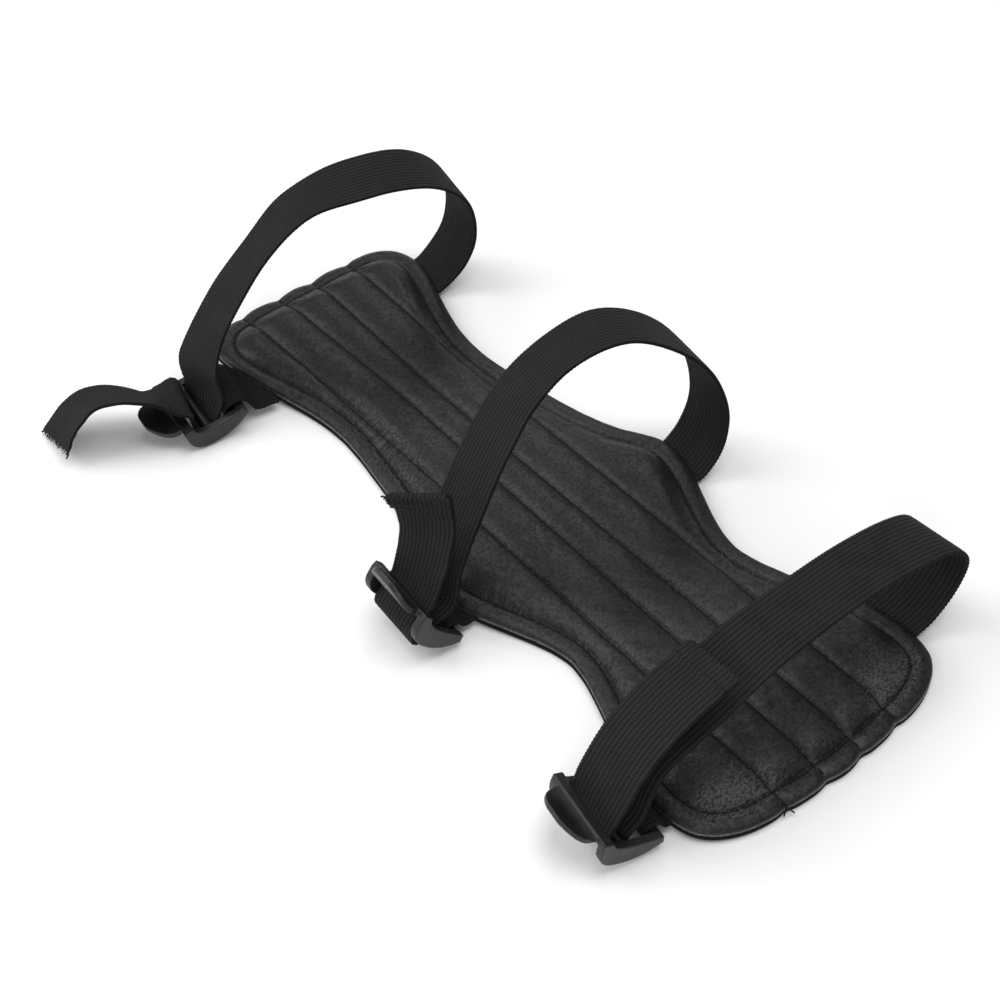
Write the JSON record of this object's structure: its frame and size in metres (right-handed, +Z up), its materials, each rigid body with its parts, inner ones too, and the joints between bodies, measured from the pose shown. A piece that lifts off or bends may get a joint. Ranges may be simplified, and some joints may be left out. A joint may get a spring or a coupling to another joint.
{
  "type": "archery arm guard",
  "caption": "Quilted leather forearm pad with hourglass edges, elastic straps that loop over it, and ladder-lock buckles held by short webbing loops.",
  "frame": {"origin": "centre of the pad's flat underside, on the surface that the guard lies on", "axes": "+X along the pad towards its elbow end, +Y towards the edge where the straps are sewn in, +Z up out of the quilted face"},
  "size_m": [0.2616, 0.1706, 0.0726],
  "materials": {
    "leather": "soft sheen, fine wrinkled grain",
    "backing": "matt felted cloth",
    "elastic": "ribbed knitted elastic",
    "webbing": "matt woven webbing",
    "plastic": "satin moulded plastic"
  },
  "bodies": {
    "root": {"pad_cover": "leather", "pad_backing": "backing", "strap_wrist": "elastic", "anchor_wrist": "webbing", "buckle_wrist": "plastic", "strap_middle": "elastic", "anchor_middle": "webbing", "buckle_middle": "plastic", "strap_elbow": "elastic", "anchor_elbow": "webbing", "buckle_elbow": "plastic"}
  },
  "joints": []
}
